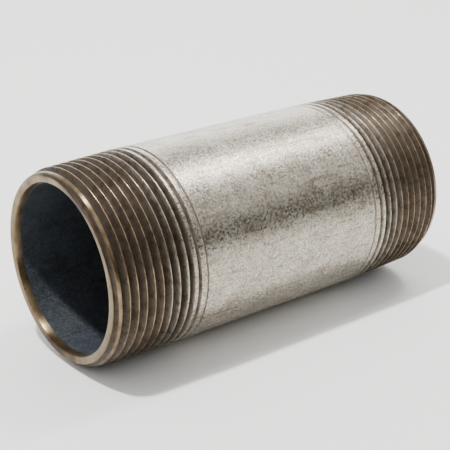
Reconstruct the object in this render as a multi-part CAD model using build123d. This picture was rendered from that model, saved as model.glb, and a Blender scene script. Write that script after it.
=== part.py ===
from build123d import *
from math import ceil, cos, pi, radians, sin, tan
import os

os.makedirs("parts", exist_ok=True)

# A 1-1/2 inch pipe nipple, 4 inches long. The pipe's axis is +X and the
# origin is the middle of the pipe. Millimetres throughout.
mm_per_inch = 25.4

# Pipe: schedule 40, cut to length.
pipe_outside_diameter = 48.26
wall_thickness = 3.68
nipple_length = 101.6

# National pipe taper thread, both ends, right hand. A start angle is where
# the groove meets the end face, from +Y towards +Z.
threads_per_inch = 11.5
taper_per_side = 1 / 32
flank_angle = 30
vanishing_turns = 3.47
crest_flat = 0.20
root_flat = 0.13
near_start_angle = 97.0
far_start_angle = 119.4

# Cut ends: the outside chamfer, and the reamed mouth of the bore.
chamfer_depth = 1.09
chamfer_length = 2.4
ream_depth = 0.305
ream_length = 1.8

# Hot-dip zinc, which the die and the reamer cut away at the ends.
outer_zinc_thickness = 0.10
inner_zinc_thickness = 0.10

# How far the thread cutter runs past the metal it cuts.
cutter_overrun = 1.2
crest_clearance = 0.05
cutter_headroom = 0.6
cutter_pieces_per_turn = 4
spans_per_piece = 4

pitch = mm_per_inch / threads_per_inch
pipe_radius = pipe_outside_diameter / 2
bore_radius = pipe_radius - wall_thickness
zinc_radius = pipe_radius + outer_zinc_thickness
half_length = nipple_length / 2

# The standard gives these from the pipe's diameter and the pitch.
diameter_in_inches = pipe_outside_diameter / mm_per_inch
pitch_diameter_at_face = pipe_outside_diameter - (0.05 * diameter_in_inches + 1.1) * pitch
full_thread_length = (0.80 * diameter_in_inches + 6.8) * pitch
total_thread_length = full_thread_length + vanishing_turns * pitch


def flank_height(flat):
    """Radial distance from the pitch line to a flat of this width."""
    return (pitch / 2 - flat) / (2 * tan(radians(flank_angle)))


major_radius_at_face = pitch_diameter_at_face / 2 + flank_height(crest_flat)
root_radius_at_face = pitch_diameter_at_face / 2 - flank_height(root_flat)
cone_length = (pipe_radius - major_radius_at_face) / taper_per_side
face_outer_radius = major_radius_at_face - chamfer_depth


def major_radius(depth):
    """Radius of the cone that the die leaves on the crests."""
    return major_radius_at_face + depth * taper_per_side


def root_radius(depth):
    """Radius of the thread's root: the taper, then the vanishing turns."""
    taper_depth = min(depth, full_thread_length)
    radius = root_radius_at_face + taper_depth * taper_per_side
    full_root = root_radius_at_face + full_thread_length * taper_per_side
    vanish_length = total_thread_length - full_thread_length
    vanish_slope = (zinc_radius - full_root) / vanish_length
    return radius + max(0, depth - full_thread_length) * vanish_slope


def groove_section():
    """The V groove's corners as (outward, along the axis) from its root."""
    height = flank_height(root_flat) + flank_height(crest_flat) + crest_clearance
    half_root = root_flat / 2
    half_top = half_root + height * tan(radians(flank_angle))
    top = height + cutter_headroom
    return [
        (0, -half_root),
        (height, -half_top),
        (top, -half_top),
        (top, half_top),
        (height, half_top),
        (0, half_root),
    ]


def corner_point(corner, depth, start_angle):
    """Where one corner of the groove is when the cutter is this deep."""
    outward, along = corner
    angle = radians(start_angle) + 2 * pi * depth / pitch
    radius = root_radius(depth) + outward
    return Vector(depth + along - half_length, radius * cos(angle), radius * sin(angle))


def corner_curve(corner, depth_from, depth_to, start_angle):
    """One corner's path over one piece of a turn, smooth with the next."""
    nudge = 0.0001
    tangents = []
    for depth in (depth_from, depth_to):
        before = corner_point(corner, depth - nudge, start_angle)
        after = corner_point(corner, depth + nudge, start_angle)
        tangents.append((after - before).normalized())
    points = []
    for step in range(spans_per_piece + 1):
        depth = depth_from + (depth_to - depth_from) * step / spans_per_piece
        points.append(corner_point(corner, depth, start_angle))
    return Edge.make_spline(points, tangents=tangents)


def thread_cutter(start_angle):
    """The V groove's solid at the -X end, from open air in to the run-out."""
    corners = groove_section()
    first_depth = -cutter_overrun * pitch
    last_depth = total_thread_length + cutter_overrun
    count = ceil(cutter_pieces_per_turn * (last_depth - first_depth) / pitch)
    step = (last_depth - first_depth) / count
    faces = []
    for index in range(count):
        depth_from = first_depth + index * step
        depth_to = depth_from + step
        curves = [corner_curve(c, depth_from, depth_to, start_angle) for c in corners]
        for curve, next_curve in zip(curves, curves[1:] + curves[:1]):
            faces.append(Face.make_surface_from_curves(curve, next_curve))
    for depth in (first_depth, last_depth):
        outline = [corner_point(c, depth, start_angle) for c in corners]
        faces.append(Face(Wire.make_polygon(outline)))
    return Solid(Shell(faces))


def both_cutters():
    """One cutter per end; the +X one is the same cutter turned end for end."""
    near = thread_cutter(near_start_angle)
    far = thread_cutter(180 - far_start_angle).rotate(Axis.Z, 180)
    return near, far


def turned_blank():
    """The pipe with its ends turned, chamfered and reamed, before threading."""
    upper_half = [
        (half_length, bore_radius + ream_depth),
        (half_length, face_outer_radius),
        (half_length - chamfer_length, major_radius(chamfer_length)),
        (half_length - cone_length, pipe_radius),
    ]
    inner_half = (half_length - ream_length, bore_radius)
    outline = [(-x, r) for x, r in upper_half]
    outline += list(reversed(upper_half))
    outline.append(inner_half)
    outline.append((-inner_half[0], inner_half[1]))
    return revolve(make_face(Polyline(*outline, close=True)), Axis.X)


def tube(outer_radius, inner_radius, length):
    """A plain tube on the X axis, centred on the origin."""
    outer = Cylinder(outer_radius, length)
    return Plane.YZ * (outer - Cylinder(inner_radius, length))


def steel_pipe(cutters):
    pipe = turned_blank()
    for cutter in cutters:
        pipe -= cutter
    return pipe


def outer_zinc_coat(cutters):
    """Zinc on the barrel and on the crests that the die didn't reach."""
    coat = tube(zinc_radius, pipe_radius, nipple_length - 2 * cone_length)
    for cutter in cutters:
        coat -= cutter
    return coat.solids().sort_by(SortBy.VOLUME)[-1]


def inner_zinc_coat():
    """Zinc in the bore, between the two reamed mouths."""
    length = nipple_length - 2 * ream_length
    return tube(bore_radius, bore_radius - inner_zinc_thickness, length)


cutters = both_cutters()
export_step(steel_pipe(cutters), "parts/steel_pipe.step")
export_step(outer_zinc_coat(cutters), "parts/outer_zinc_coat.step")
export_step(inner_zinc_coat(), "parts/inner_zinc_coat.step")
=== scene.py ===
from math import atan2, cos, hypot, pi, radians, sin, tan
import bmesh
import bpy
from mathutils import Matrix, Vector, noise


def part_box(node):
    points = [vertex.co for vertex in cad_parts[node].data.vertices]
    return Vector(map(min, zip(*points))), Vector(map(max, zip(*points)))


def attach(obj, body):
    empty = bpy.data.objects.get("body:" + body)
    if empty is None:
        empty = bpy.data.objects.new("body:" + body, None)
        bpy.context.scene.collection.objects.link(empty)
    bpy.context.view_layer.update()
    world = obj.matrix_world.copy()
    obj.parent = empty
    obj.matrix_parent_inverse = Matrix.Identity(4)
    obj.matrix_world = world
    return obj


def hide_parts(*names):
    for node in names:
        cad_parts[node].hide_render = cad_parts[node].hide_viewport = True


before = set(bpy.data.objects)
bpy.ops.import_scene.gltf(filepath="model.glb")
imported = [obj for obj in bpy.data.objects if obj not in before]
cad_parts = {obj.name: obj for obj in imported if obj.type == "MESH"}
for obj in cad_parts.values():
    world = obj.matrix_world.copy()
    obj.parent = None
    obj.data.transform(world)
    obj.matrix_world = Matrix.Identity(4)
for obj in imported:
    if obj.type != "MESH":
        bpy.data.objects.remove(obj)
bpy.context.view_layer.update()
mm = 0.001


def toLinear(hexColour):  # sRGB hex to the linear colour that a socket takes
    parts = [int(hexColour[i:i + 2], 16) / 255 for i in (1, 3, 5)]
    return [c / 12.92 if c <= 0.04045 else ((c + 0.055) / 1.055) ** 2.4 for c in parts] + [1]


def startMaterial(name):
    material = bpy.data.materials.new(name)
    material.use_nodes = True
    material.node_tree.nodes.clear()
    return material


def addNode(tree, kind, sockets=None, stops=(), **settings):
    # sockets are {name: value or (node, output)}, stops a colour ramp's (position, hex colour)
    node = tree.nodes.new("ShaderNode" + kind)
    for position, colour in stops[2:]:  # a new ramp has two already
        node.color_ramp.elements.new(position)
    for element, (position, colour) in zip(node.color_ramp.elements if stops else (), stops):
        element.position = position
        element.color = toLinear(colour)
    for key, value in settings.items():
        setattr(node, key, value)
    for socket, value in (sockets or {}).items():
        if isinstance(value, tuple) and isinstance(value[0], bpy.types.Node):
            tree.links.new(value[0].outputs[value[1]], node.inputs[socket])
        else:
            node.inputs[socket].default_value = value
    return node


def finishPiece(name, bm, materials):
    mesh = bpy.data.meshes.new(name)
    bm.to_mesh(mesh)
    bm.free()
    for material in materials:
        mesh.materials.append(material)
    piece = bpy.data.objects.new(name, mesh)
    bpy.context.scene.collection.objects.link(piece)
    return piece


def markEdges(bm, sharpAngle):  # smooth faces, with a hard edge wherever the metal turns a corner
    for face in bm.faces:
        face.smooth = True
    for edge in bm.edges:
        edge.smooth = len(edge.link_faces) == 2 and edge.calc_face_angle(0) < radians(sharpAngle)


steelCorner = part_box("steel_pipe")[1]
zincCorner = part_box("outer_zinc_coat")[1]
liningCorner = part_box("inner_zinc_coat")[1]
halfLength = steelCorner[0]
pipeRadius = steelCorner[2]
zincRadius = zincCorner[2]
boreRadius = liningCorner[2]
reamLength = halfLength - liningCorner[0]

thread = {
    "pitch": 25.4 * mm / 11.5,
    "flankAngle": 30,  # degrees from square to the axis, half of the 60 degree thread
    "taper": 1 / 32,  # radius gained per length
    "pitchRadius": 22.8105 * mm,  # at the end face
    "crestFlat": 0.20 * mm,
    "rootFlat": 0.13 * mm,
    "fullLength": 18.376 * mm,
    "totalLength": 26.04 * mm,
    "startAngles": (97.0, 119.4),  # at the near and the far face, degrees from +Y to +Z
}
pipeEnd = {
    "faceRadius": 22.504 * mm,
    "chamferLength": 2.4 * mm,
    "edgeBreak": 0.14 * mm,
    "mouthRadius": 20.75 * mm,
}
skin = {
    "steps": 160,  # rows round the pipe
    "row": (0.0, 0.1, 0.3, 0.4, 0.5, 0.6, 0.7, 0.9),  # points in one pitch, from a root to the next
    "mergeGap": 0.002 * mm,
    "plainHalf": 25 * mm,  # the turn between the two start angles is spread over this much each side
    "fullCut": 0.3 * mm,  # a groove this deep has all of its rounding and tearing
    "edgeRound": 0.06 * mm,
    "leastSlope": 0.02 * mm,  # keeps the flanks apart where the groove runs out
    "leastStep": 0.01 * mm,  # keeps the crest's edge open there
    "crestRise": 0.015 * mm,
    "rootDip": 0.03 * mm,
    "burr": 0.05 * mm,
    "burrSize": 0.9 * mm,
}

slope = tan(radians(thread["flankAngle"]))
crestRadiusAtFace = thread["pitchRadius"] + (thread["pitch"] / 2 - thread["crestFlat"]) / (2 * slope)
rootRadiusAtFace = thread["pitchRadius"] - (thread["pitch"] / 2 - thread["rootFlat"]) / (2 * slope)


def rootRadius(depth):  # along the taper, then up the vanishing turns
    full = rootRadiusAtFace + thread["fullLength"] * thread["taper"]
    if depth < thread["fullLength"]:
        return rootRadiusAtFace + depth * thread["taper"]
    vanish = (zincRadius - full) / (thread["totalLength"] - thread["fullLength"])
    return full + (depth - thread["fullLength"]) * vanish


def outerRadius(depth, limit):  # chamfer, then the die's cone, then the pipe itself
    cone = crestRadiusAtFace + depth * thread["taper"]
    chamferEnd = crestRadiusAtFace + pipeEnd["chamferLength"] * thread["taper"]
    chamferSlope = (chamferEnd - pipeEnd["faceRadius"]) / pipeEnd["chamferLength"]
    return min(cone, limit, pipeEnd["faceRadius"] + max(depth, 0) * chamferSlope)


def tearing(depth):  # the turns in the first 5 mm tear most
    return 0.35 + 1.2 * max(0, 1 - depth / (5 * mm))


def cutPoint(tenths, depth, limit, grit):
    # Where a point of the row goes: how far from its groove's middle, its radius and how
    # bright it is rubbed, with a painted highlight on the crest lines. tenths is its place, from 0 at the
    # root to 5 at the crest.
    outer = outerRadius(depth, limit)
    root = min(rootRadius(depth), outer)
    cut = min(1, (outer - root) / skin["fullCut"])
    tear = 0.4 * grit * skin["burr"] * tearing(depth) * cut
    edgeRound = skin["edgeRound"]
    halfRoot = thread["rootFlat"] / 2
    halfTop = halfRoot + max(skin["leastSlope"], (outer - root) * slope)
    if tenths == 0:
        return 0, root - skin["rootDip"] * cut, 0
    if tenths == 1:
        return halfRoot, root, 0.05
    if tenths == 3:
        return halfTop - 0.3 * edgeRound * cut, outer - edgeRound * cut + tear, 0.75
    if tenths == 4:
        return halfTop + skin["leastStep"] + 0.5 * edgeRound * cut, min(limit, outer + tear), 0.95
    return None, min(limit, outer + skin["crestRise"] * cut), 1


def threadedSkin(limit):
    # A row of points along the pipe, spun one turn while it moves on by one pitch,
    # meets itself, so every point traces the thread's own helix.
    bm = bmesh.new()
    crest = bm.verts.layers.float.new("crest")
    depthLayer = bm.verts.layers.float.new("depth")
    pitch = thread["pitch"]
    nearStart, farStart = thread["startAngles"]
    turnsAtStart = (nearStart + farStart) / 720
    slide = (farStart - nearStart) / 720 * pitch  # each end's thread starts at its own angle
    row = []
    for turn in range(-2, round(2 * halfLength / pitch) + 2):
        for place in skin["row"]:
            row.append(bm.verts.new((-halfLength + (turn + place - turnsAtStart) * pitch, limit, 0)))
    edges = [bm.edges.new(pair) for pair in zip(row, row[1:])]
    bmesh.ops.spin(bm, geom=row + edges, cent=(0, 0, 0), axis=(1, 0, 0),
                   dvec=(pitch / skin["steps"], 0, 0), angle=2 * pi, steps=skin["steps"], use_merge=False)
    bmesh.ops.remove_doubles(bm, verts=bm.verts, dist=skin["mergeGap"])
    for vert in bm.verts:
        turned = atan2(vert.co.z, vert.co.y) / (2 * pi)
        along = (vert.co.x + halfLength) / pitch - turned + turnsAtStart
        part = along - round(along)  # from -0.5 to 0.5 of a pitch, with 0 at the root
        x = vert.co.x - slide * max(-1, min(1, vert.co.x / skin["plainHalf"]))
        depth = halfLength - abs(x)
        grit = noise.noise(vert.co / skin["burrSize"])
        aside, radius, shine = cutPoint(round(abs(part) * 10), depth, limit, grit)
        if aside is not None:  # a crest's own point stays midway between two grooves
            x += (aside if part > 0 else -aside) - part * pitch
        vert[crest] = shine
        vert[depthLayer] = depth
        vert.co = (x, radius * cos(turned * 2 * pi), radius * sin(turned * 2 * pi))
    return bm


def trimEnds(bm, reach):  # squares both ends off at this distance from the middle
    for side in (-1, 1):
        geometry = bm.verts[:] + bm.edges[:] + bm.faces[:]
        bmesh.ops.bisect_plane(bm, geom=geometry, dist=0.0005 * mm, plane_co=(side * reach, 0, 0),
                               plane_no=(side, 0, 0), clear_outer=True)


def openEdges(bm, side):
    return [e for e in bm.edges if len(e.link_faces) == 1 and e.verts[0].co.x * side > 0]


def addMark(tree, colour, place, streaks, mark, edge):  # tints one patch, with a ragged edge
    centre, size, tint = mark
    near = addNode(tree, "VectorMath", {0: (place, "Object"), 1: [v * mm for v in centre]},
                   operation="SUBTRACT")
    scaled = addNode(tree, "VectorMath", {0: (near, "Vector"), 1: [v * mm for v in size]},
                     operation="DIVIDE")
    reach = addNode(tree, "VectorMath", {0: (scaled, "Vector")}, operation="LENGTH")
    ragged = addNode(tree, "Math", {0: (streaks, "Fac"), 1: edge["ragged"], 2: (reach, "Value")},
                     operation="MULTIPLY_ADD")
    mask = addNode(tree, "MapRange", {"Value": (ragged, "Value"), "From Min": edge["from"],
                                      "From Max": edge["to"], "To Min": edge["strength"], "To Max": 0.0})
    return addNode(tree, "MixRGB", {"Fac": (mask, "Result"), "Color1": (colour, "Color"),
                                    "Color2": toLinear(tint)}, blend_type="MULTIPLY")


zincPattern = {
    "patch": 6 * mm,
    "crystal": 0.5 * mm,
    "grain": 0.34 * mm,  # really nearer 0.1 mm, and drawn this coarse so that it shows
    "streak": 0.8 * mm,
    "streakStretch": 0.07,  # long scuffs, the way the pipe was drawn through
}
outerZincLook = {
    "patches": [(0.32, "#b5aa9c"), (0.42, "#cdc7bc"), (0.55, "#d8d3ca"), (0.68, "#e6e2da")],
    "crystals": [(0.0, "#b4afa6"), (0.45, "#eceae5"), (1.0, "#ffffff")],
    "grain": [(0.34, "#9d968a"), (0.50, "#e2dfd9"), (0.62, "#ffffff")],
    "streaks": [(0.34, "#dbd4c8"), (0.44, "#ffffff")],
    "rough": (0.20, 0.35), "relief": 0.06 * mm, "metallic": 0.92,
    # rust bleeding through: (centre in mm), (reach in mm), colour
    "rust": [((5, -0.4, 24.2), (3.2, 1.3, 2.0), "#b98f5c"), ((-12.5, 0.6, 24.2), (2.4, 0.9, 2.0), "#c2a078"),
             ((14.5, 1.0, 24.2), (1.6, 0.7, 2.0), "#bf9c70")],
    "rustEdge": {"ragged": 1.6, "from": 1.0, "to": 1.8, "strength": 0.8},
}
# darker and duller than the outer zinc: the dull finish is the lining's own, and much of the darkness is
# painted shade of the bore
innerZincShadedLook = {
    "patches": [(0.30, "#363b40"), (0.45, "#454a50"), (0.60, "#4f555b"), (0.75, "#595e64")],
    "crystals": [(0.0, "#ccd0d4"), (1.0, "#ffffff")],
    "grain": [(0.34, "#8f9398"), (0.52, "#dcdee0"), (0.64, "#ffffff")],
    "streaks": [(0.34, "#d0d0d0"), (0.44, "#ffffff")],
    "rough": (0.50, 0.62), "relief": 0.05 * mm, "metallic": 0.25,
    "rust": [], "rustEdge": {},
}


def zincMaterial(name, look):
    # Hot-dip galvanised steel, weathered: a frozen skin of zinc crystals. It reads as
    # soft grey metal, mottled in patches, with a fine grain that sparkles in the highlight.
    material = startMaterial(name)
    tree = material.node_tree
    place = addNode(tree, "TexCoord")
    patches = addNode(tree, "TexNoise", {"Vector": (place, "Object"), "Scale": 1 / zincPattern["patch"],
                                         "Detail": 6.0, "Roughness": 0.72})
    crystals = addNode(tree, "TexVoronoi", {"Vector": (place, "Object"), "Scale": 1 / zincPattern["crystal"]})
    grain = addNode(tree, "TexNoise", {"Vector": (place, "Object"), "Scale": 1 / zincPattern["grain"],
                                       "Detail": 2.0, "Roughness": 0.7})
    drawn = addNode(tree, "Mapping", {"Vector": (place, "Object"),
                                      "Scale": (zincPattern["streakStretch"], 1.0, 1.0)})
    streaks = addNode(tree, "TexNoise", {"Vector": (drawn, "Vector"), "Scale": 1 / zincPattern["streak"],
                                         "Detail": 4.0, "Roughness": 0.6})
    colour = addNode(tree, "ValToRGB", {"Fac": (patches, "Fac")}, look["patches"])
    for source, output, layer in ((crystals, "Color", "crystals"), (grain, "Fac", "grain"),
                                  (streaks, "Fac", "streaks")):
        tone = addNode(tree, "ValToRGB", {"Fac": (source, output)}, look[layer])
        colour = addNode(tree, "MixRGB", {"Fac": 1.0, "Color1": (colour, "Color"),
                                          "Color2": (tone, "Color")}, blend_type="MULTIPLY")
    for mark in look["rust"]:
        colour = addMark(tree, colour, place, streaks, mark, look["rustEdge"])
    facing = addNode(tree, "SeparateXYZ", {"Vector": (crystals, "Color")})  # one number for each crystal
    smoothest, roughest = look["rough"]
    rough = addNode(tree, "MapRange", {"Value": (facing, "Y"), "From Min": 0.0, "From Max": 1.0,
                                       "To Min": smoothest, "To Max": roughest})
    bump = addNode(tree, "Bump", {"Height": (grain, "Fac"), "Strength": 1.0, "Distance": look["relief"]})
    shader = addNode(tree, "BsdfPrincipled", {"Base Color": (colour, "Color"), "Roughness": (rough, "Result"),
                                              "Normal": (bump, "Normal"), "Metallic": look["metallic"]})
    addNode(tree, "OutputMaterial", {"Surface": (shader, "BSDF")})
    return material


threadLook = {
    # colours from the groove's floor to the crest; the bright crest end is rubbed steel with a painted
    # highlight on the crest lines
    "steel": [(0.0, "#544b40"), (0.40, "#483f36"), (0.72, "#544a3e"), (0.86, "#7c6d58"), (1.0, "#a3906f")],
    "zinc": [(0.0, "#463e36"), (0.40, "#473f37"), (0.64, "#696156"), (0.82, "#968f83"), (1.0, "#b0a99c")],
    "zincFrom": (13.5 * mm, 15.5 * mm),  # from the end face, where the die left zinc on the crests
    "fadeFrom": (20.0 * mm, 24.2 * mm),  # the last grooves, too shallow to stay dark
    "fadeColour": "#a39b90",
    "dirt": [(0.36, "#a8988a"), (0.5, "#ece6de"), (0.64, "#ffffff")],
    "pits": [(0.06, "#3c2f28"), (0.14, "#ffffff")],
    "tear": 0.35 * mm,  # really finer, and drawn this coarse so that it shows
    "tearStretch": 0.25,  # round the pipe, the way the die turned
    "patch": 2.4 * mm,
    "pit": 1.6 * mm,
    "grooveRoughness": 0.46,
    "crestRoughness": 0.16,
    "relief": 0.05 * mm,
    "metallic": 0.75,
}


def threadMaterial():
    # Die-cut mild steel with cutting oil in it: dull dark brown in the grooves, and rubbed
    # bright along the crests, with a painted highlight on the crest lines as well. Zinc is smeared over the
    # last crests.
    material = startMaterial("dieCutSteel")
    tree = material.node_tree
    place = addNode(tree, "TexCoord")
    crest = addNode(tree, "Attribute", attribute_name="crest")
    depth = addNode(tree, "Attribute", attribute_name="depth")
    around = addNode(tree, "Mapping", {"Vector": (place, "Object"),
                                       "Scale": (1.0, threadLook["tearStretch"], threadLook["tearStretch"])})
    tears = addNode(tree, "TexNoise", {"Vector": (around, "Vector"), "Scale": 1 / threadLook["tear"],
                                       "Detail": 4.0, "Roughness": 0.65})
    patches = addNode(tree, "TexNoise", {"Vector": (place, "Object"), "Scale": 1 / threadLook["patch"],
                                         "Detail": 5.0, "Roughness": 0.65})
    pits = addNode(tree, "TexVoronoi", {"Vector": (place, "Object"), "Scale": 1 / threadLook["pit"]})
    ragged = addNode(tree, "MapRange", {"Value": (tears, "Fac"), "From Min": 0.3, "From Max": 0.7,
                                        "To Min": -0.12, "To Max": 0.12})
    wearAndGlint = addNode(tree, "Math", {0: (crest, "Fac"), 1: (ragged, "Result")}, operation="ADD", use_clamp=True)
    steel = addNode(tree, "ValToRGB", {"Fac": (wearAndGlint, "Value")}, threadLook["steel"])
    zinc = addNode(tree, "ValToRGB", {"Fac": (wearAndGlint, "Value")}, threadLook["zinc"])
    smear = addNode(tree, "MapRange", {"Value": (depth, "Fac"), "From Min": threadLook["zincFrom"][0],
                                       "From Max": threadLook["zincFrom"][1], "To Min": 0.0, "To Max": 1.0})
    base = addNode(tree, "MixRGB", {"Fac": (smear, "Result"), "Color1": (steel, "Color"),
                                    "Color2": (zinc, "Color")})
    ending = addNode(tree, "MapRange", {"Value": (depth, "Fac"), "From Min": threadLook["fadeFrom"][0],
                                        "From Max": threadLook["fadeFrom"][1], "To Min": 0.0, "To Max": 0.85})
    fading = addNode(tree, "MixRGB", {"Fac": (ending, "Result"), "Color1": (base, "Color"),
                                      "Color2": toLinear(threadLook["fadeColour"])})
    dirt = addNode(tree, "ValToRGB", {"Fac": (patches, "Fac")}, threadLook["dirt"])
    dirty = addNode(tree, "MixRGB", {"Fac": 0.8, "Color1": (fading, "Color"), "Color2": (dirt, "Color")},
                    blend_type="MULTIPLY")
    spots = addNode(tree, "ValToRGB", {"Fac": (pits, "Distance")}, threadLook["pits"])
    colour = addNode(tree, "MixRGB", {"Fac": 0.6, "Color1": (dirty, "Color"), "Color2": (spots, "Color")},
                     blend_type="MULTIPLY")
    rough = addNode(tree, "MapRange", {"Value": (wearAndGlint, "Value"), "From Min": 0.7, "From Max": 1.0,
                                       "To Min": threadLook["grooveRoughness"],
                                       "To Max": threadLook["crestRoughness"]})
    bump = addNode(tree, "Bump", {"Height": (tears, "Fac"), "Strength": 0.7,
                                  "Distance": threadLook["relief"]})
    shader = addNode(tree, "BsdfPrincipled", {"Base Color": (colour, "Color"), "Roughness": (rough, "Result"),
                                              "Normal": (bump, "Normal"), "Metallic": threadLook["metallic"]})
    addNode(tree, "OutputMaterial", {"Surface": (shader, "BSDF")})
    return material


turnedLook = {
    "steel": [(0.3, "#5c4c39"), (0.5, "#796850"), (0.7, "#8b7b60")],
    "pits": [(0.06, "#4a3a30"), (0.13, "#ffffff")],
    "ring": 0.25 * mm,  # really nearer 0.1 mm apart, and drawn this coarse so that they show
    "patch": 3.5 * mm,
    "pit": 2.2 * mm,
    "relief": 0.03 * mm,
    # painted shade on the near face, where its turned rings reflect dark in two lobes: (centre in mm), (reach
    # in mm), colour
    "paintedShade": [((-50.8, -9.5, 20.0), (1.3, 7.5, 5.5), "#72675f"),
            ((-50.8, 4.0, -22.0), (1.3, 9.0, 5.0), "#968c86")],
    "paintedShadeEdge": {"ragged": 0.8, "from": 0.8, "to": 1.6, "strength": 1.0},
}


def turnedMaterial():
    # Mild steel turned and reamed: warm grey with fine rings round the axis, which fan the
    # light out across the rings. Painted shade darkens two patches of the near face, where its reflection is
    # dark.
    material = startMaterial("turnedSteel")
    tree = material.node_tree
    place = addNode(tree, "TexCoord")
    parts = addNode(tree, "SeparateXYZ", {"Vector": (place, "Object")})
    flat = addNode(tree, "CombineXYZ", {"X": 0.0, "Y": (parts, "Y"), "Z": (parts, "Z")})
    radius = addNode(tree, "VectorMath", {0: (flat, "Vector")}, operation="LENGTH")
    ringPlace = addNode(tree, "CombineXYZ", {"X": (radius, "Value"), "Y": (parts, "X"), "Z": 0.0})
    rings = addNode(tree, "TexNoise", {"Vector": (ringPlace, "Vector"), "Scale": 1 / turnedLook["ring"],
                                       "Detail": 3.0, "Roughness": 0.7})
    patches = addNode(tree, "TexNoise", {"Vector": (place, "Object"), "Scale": 1 / turnedLook["patch"],
                                         "Detail": 5.0, "Roughness": 0.6})
    pits = addNode(tree, "TexVoronoi", {"Vector": (place, "Object"), "Scale": 1 / turnedLook["pit"]})
    base = addNode(tree, "ValToRGB", {"Fac": (patches, "Fac")}, turnedLook["steel"])
    spots = addNode(tree, "ValToRGB", {"Fac": (pits, "Distance")}, turnedLook["pits"])
    colour = addNode(tree, "MixRGB", {"Fac": 0.8, "Color1": (base, "Color"), "Color2": (spots, "Color")},
                     blend_type="MULTIPLY")
    # painted shade: darkens the two dark reflection lobes of the near face
    for mark in turnedLook["paintedShade"]:
        colour = addMark(tree, colour, place, patches, mark, turnedLook["paintedShadeEdge"])
    around = addNode(tree, "Tangent", direction_type="RADIAL", axis="X")
    bump = addNode(tree, "Bump", {"Height": (rings, "Fac"), "Strength": 0.25,
                                  "Distance": turnedLook["relief"]})
    shader = addNode(tree, "BsdfPrincipled", {
        "Base Color": (colour, "Color"), "Normal": (bump, "Normal"), "Tangent": (around, "Tangent"),
        "Metallic": 0.9, "Roughness": 0.32,
        "Anisotropic": 0.8, "Anisotropic Rotation": 0.25,  # a quarter turn, across the rings
    })
    addNode(tree, "OutputMaterial", {"Surface": (shader, "BSDF")})
    return material


def lipProfile():
    # (depth, radius) over the end face and down the reamed mouth to the bore. The first point
    # has no radius, because it stays the broken edge's width inside the edge itself.
    mouth = pipeEnd["mouthRadius"]
    edgeBreak = pipeEnd["edgeBreak"]
    lip = mouth - boreRadius
    return [(0, None), (0, mouth + edgeBreak), (0.4 * edgeBreak, mouth + 0.35 * edgeBreak),
            (1.4 * edgeBreak, mouth - 0.1 * lip), (0.3 * reamLength, boreRadius + 0.55 * lip),
            (0.6 * reamLength, boreRadius + 0.2 * lip), (reamLength, boreRadius)]


def makeSteelPipe():
    bm = threadedSkin(pipeRadius)
    trimEnds(bm, halfLength - pipeEnd["edgeBreak"])
    for face in bm.faces:  # the crests on the chamfer were turned, and only its grooves die-cut
        centre = face.calc_center_median()
        depth = halfLength - abs(centre.x)
        onCrest = hypot(centre.y, centre.z) > outerRadius(depth, pipeRadius) - 2 * skin["edgeRound"]
        face.material_index = 1 if onCrest and depth < pipeEnd["chamferLength"] * 1.1 else 0
    for side in (-1, 1):
        loop = openEdges(bm, side)
        for depth, ringRadius in lipProfile():
            made = bmesh.ops.extrude_edge_only(bm, edges=loop)["geom"]
            for vert in [g for g in made if isinstance(g, bmesh.types.BMVert)]:
                angle = atan2(vert.co.z, vert.co.y)
                radius = ringRadius or hypot(vert.co.y, vert.co.z) - pipeEnd["edgeBreak"]
                vert.co = (side * (halfLength - depth), radius * cos(angle), radius * sin(angle))
            for face in [g for g in made if isinstance(g, bmesh.types.BMFace)]:
                face.material_index = 1
            loop = openEdges(bm, side)
    bmesh.ops.bridge_loops(bm, edges=openEdges(bm, -1) + openEdges(bm, 1))
    bmesh.ops.recalc_face_normals(bm, faces=bm.faces)
    markEdges(bm, 42)
    piece = finishPiece("steelPipe", bm, [threadMaterial(), turnedMaterial()])
    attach(piece, "root")
    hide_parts("steel_pipe")


def makeOuterZinc():
    bm = threadedSkin(zincRadius)
    trimEnds(bm, zincCorner[0])
    bmesh.ops.recalc_face_normals(bm, faces=bm.faces)
    outwards = sum(f.normal.dot(f.calc_center_median() * Vector((0, 1, 1))) for f in bm.faces)
    if outwards < 0:  # the coat is thickened inwards, to the steel
        bmesh.ops.reverse_faces(bm, faces=bm.faces)
    bareBelow = pipeRadius + 0.01 * mm
    bare = [f for f in bm.faces if any(hypot(v.co.y, v.co.z) < bareBelow for v in f.verts)]
    bmesh.ops.delete(bm, geom=bare, context="FACES")
    markEdges(bm, 40)
    piece = finishPiece("outerZincCoat", bm, [zincMaterial("hotDipZinc", outerZincLook)])
    thickness = piece.modifiers.new("thickness", "SOLIDIFY")
    thickness.thickness = zincRadius - pipeRadius
    thickness.offset = -1
    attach(piece, "root")
    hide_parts("outer_zinc_coat")


def dressInnerZinc():  # the CAD's own sleeve, which needs only its material
    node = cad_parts["inner_zinc_coat"]
    node.data.materials.clear()  # the mesh itself stays as it is
    # the lining's colours hold painted shade of the bore
    node.data.materials.append(zincMaterial("boreZincShaded", innerZincShadedLook))


print("steel pipe")
makeSteelPipe()
print("outer zinc")
makeOuterZinc()
print("inner zinc")
dressInnerZinc()


studio = {
    "floorColour": "#f8f8f6", "floorSize": 6.0,
    "tent": ("#ffffff", 1.2),  # white sweep behind and above
    "room": "#1b1a1a",  # seen low in front and to the left
    # on each side, where the room begins to show and where nothing else does
    "roomFront": (-0.20, -0.50),
    "roomLeft": (-0.50, -0.80),
    "roomTop": (0.52, 0.34),
    # name: direction from the pipe, distance, width, height, watts
    "lights": {
        "spot": ((-0.30, 0.06, 0.95), 0.90, 0.05, 0.05, 10.0),
        "softbox": ((0.54, 0.02, 0.84), 0.80, 0.14, 0.20, 2.6),
        "backSheet": ((0.45, 0.85, 0.32), 0.90, 0.80, 0.50, 4.0),
    },
}
camera = {"azimuth": -38.14, "elevation": 22.43, "distance": 0.31068, "lens": 98.11,
          "right": -1.81 * mm, "up": -1.52 * mm}


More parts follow.
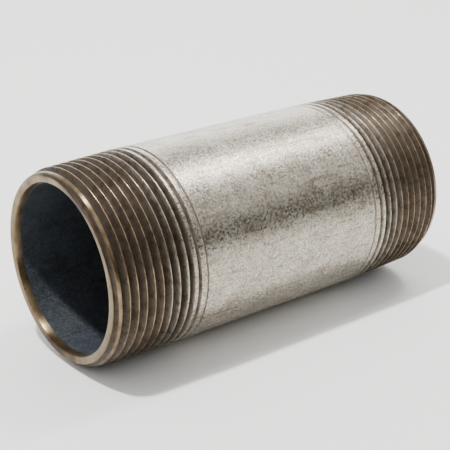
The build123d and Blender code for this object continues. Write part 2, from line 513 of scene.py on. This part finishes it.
def makeFloor():
    bm = bmesh.new()
    bmesh.ops.create_grid(bm, x_segments=1, y_segments=1, size=studio["floorSize"] / 2,
                          matrix=Matrix.Translation((0, 0, -zincRadius)))
    material = startMaterial("paleFloor")  # a sheet of matt paper
    tree = material.node_tree
    shader = addNode(tree, "BsdfPrincipled", {"Base Color": toLinear(studio["floorColour"]),
                                              "Roughness": 0.9})
    addNode(tree, "OutputMaterial", {"Surface": (shader, "BSDF")})
    finishPiece("floor", bm, [material])


def addLights():
    for name, (direction, distance, width, height, watts) in studio["lights"].items():
        light = bpy.data.lights.new(name, "AREA")
        light.shape = "RECTANGLE"
        light.size = width
        light.size_y = height
        light.energy = watts
        lamp = bpy.data.objects.new(name, light)
        away = Vector(direction).normalized()
        lamp.location = away * distance
        lamp.rotation_euler = away.to_track_quat("Z", "Y").to_euler()
        bpy.context.scene.collection.objects.link(lamp)


def lightWorld():  # a white tent all round, open to a dim room low in front and to the left
    world = bpy.data.worlds.new("studio")
    world.use_nodes = True
    tree = world.node_tree
    tree.nodes.clear()
    place = addNode(tree, "TexCoord")
    parts = addNode(tree, "SeparateXYZ", {"Vector": (place, "Generated")})
    shares = {}
    for side, axis in (("roomFront", "Y"), ("roomLeft", "X"), ("roomTop", "Z")):
        begins, full = studio[side]
        shares[side] = addNode(tree, "MapRange", {"Value": (parts, axis), "From Min": begins,
                                                  "From Max": full, "To Min": 0.0, "To Max": 1.0})
    beside = addNode(tree, "Math", {0: (shares["roomFront"], "Result"), 1: (shares["roomLeft"], "Result")},
                     operation="MAXIMUM")
    dark = addNode(tree, "Math", {0: (beside, "Value"), 1: (shares["roomTop"], "Result")},
                   operation="MULTIPLY")
    tentColour, tentStrength = studio["tent"]
    colour = addNode(tree, "MixRGB", {"Fac": (dark, "Value"), "Color1": toLinear(tentColour),
                                      "Color2": toLinear(studio["room"])})
    sky = addNode(tree, "Background", {"Color": (colour, "Color"), "Strength": tentStrength})
    addNode(tree, "OutputWorld", {"Surface": (sky, "Background")})
    bpy.context.scene.world = world


def addCamera():
    azimuth = radians(camera["azimuth"])
    elevation = radians(camera["elevation"])
    back = Vector((sin(azimuth) * cos(elevation), -cos(azimuth) * cos(elevation), sin(elevation)))
    right = Vector((cos(azimuth), sin(azimuth), 0))
    up = back.cross(right)
    lens = bpy.data.cameras.new("camera")
    lens.lens = camera["lens"]
    lens.sensor_width = 36
    lens.clip_start = 0.01
    eye = bpy.data.objects.new("camera", lens)
    eye.location = back * camera["distance"] + right * camera["right"] + up * camera["up"]
    eye.rotation_euler = Matrix((right, up, back)).transposed().to_euler()
    bpy.context.scene.collection.objects.link(eye)
    bpy.context.scene.camera = eye


print("studio")
makeFloor()
addLights()
lightWorld()
addCamera()
